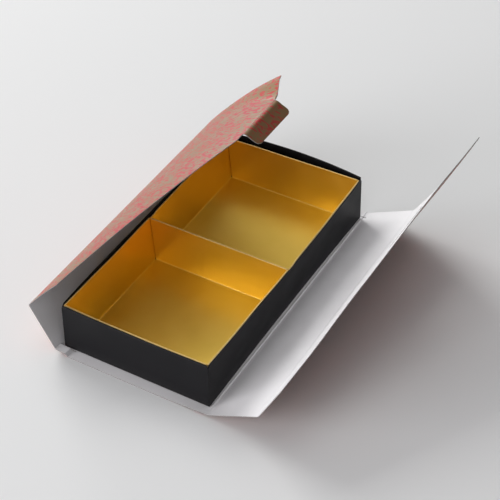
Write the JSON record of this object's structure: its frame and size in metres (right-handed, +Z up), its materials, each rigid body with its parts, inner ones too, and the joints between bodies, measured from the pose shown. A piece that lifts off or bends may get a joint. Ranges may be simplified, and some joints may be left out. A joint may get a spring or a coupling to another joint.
{
  "type": "jubako",
  "caption": "Opened paper jubako: a long black tray holds gold inner trays, in a printed wrap whose crossing leaves close with a tuck tab.",
  "frame": {"origin": "on the table, at the middle of the wrap's floor panel along its length and under the middle of the black tray", "axes": "+Z up; +Y along the tray, from the end with the wrap's narrow leaf fronts and corner tongue to the end with the tuck tab; +X from the printed left leaf to the white right leaf"},
  "size_m": [0.1967, 0.2146, 0.0912],
  "materials": {
    "wrap_inner_white": "satin",
    "wrap_print": "matte",
    "black_board": "satin",
    "gold_foil": "satin"
  },
  "bodies": {
    "wrap_floor": {"wrap_bottom": "wrap_inner_white"},
    "left_wall": {"wrap_left_wall": "wrap_inner_white"},
    "left_leaf": {"wrap_left_leaf": "wrap_print"},
    "tuck_tab": {"wrap_tuck_tab": "wrap_print"},
    "right_wall": {"wrap_right_wall": "wrap_inner_white"},
    "right_leaf": {"wrap_right_leaf": "wrap_inner_white"},
    "outer_tray": {"black_tray": "black_board"},
    "near_inner_tray": {"near_gold_tray": "gold_foil"},
    "far_inner_tray": {"far_gold_tray": "gold_foil"}
  },
  "joints": [
    {"name": "left_wall_fold", "type": "hinge", "parent": "wrap_floor", "child": "left_wall", "pos_m": [-0.0521, 0, 0.0005], "axis": [0, 1, 0], "range_deg": [-61, 29]},
    {"name": "left_leaf_fold", "type": "hinge", "parent": "left_wall", "child": "left_leaf", "pos_m": [-0.0697, 0, 0.03225], "axis": [0, 1, 0], "range_deg": [-67.5, 8.9]},
    {"name": "tab_fold", "type": "hinge", "parent": "left_leaf", "child": "tuck_tab", "pos_m": [-0.00659, 0, 0.08504], "axis": [0, 1, 0], "range_deg": [-55, 23]},
    {"name": "right_wall_fold", "type": "hinge", "parent": "wrap_floor", "child": "right_wall", "pos_m": [0.0551, 0, 0.0005], "axis": [0, -1, 0], "range_deg": [-25.6, 64.4]},
    {"name": "right_leaf_fold", "type": "hinge", "parent": "right_wall", "child": "right_leaf", "pos_m": [0.08757, 0, 0.01605], "axis": [0, -1, 0], "range_deg": [-37.2, 51.8]},
    {"name": "tray_slide", "type": "slide", "parent": "wrap_floor", "child": "outer_tray", "axis": [0, -1, 0], "range_m": [0, 0.215]},
    {"name": "near_tray_lift", "type": "slide", "parent": "outer_tray", "child": "near_inner_tray", "axis": [0, 0, 1], "range_m": [0, 0.018]},
    {"name": "far_tray_lift", "type": "slide", "parent": "outer_tray", "child": "far_inner_tray", "axis": [0, 0, 1], "range_m": [0, 0.018]}
  ]
}
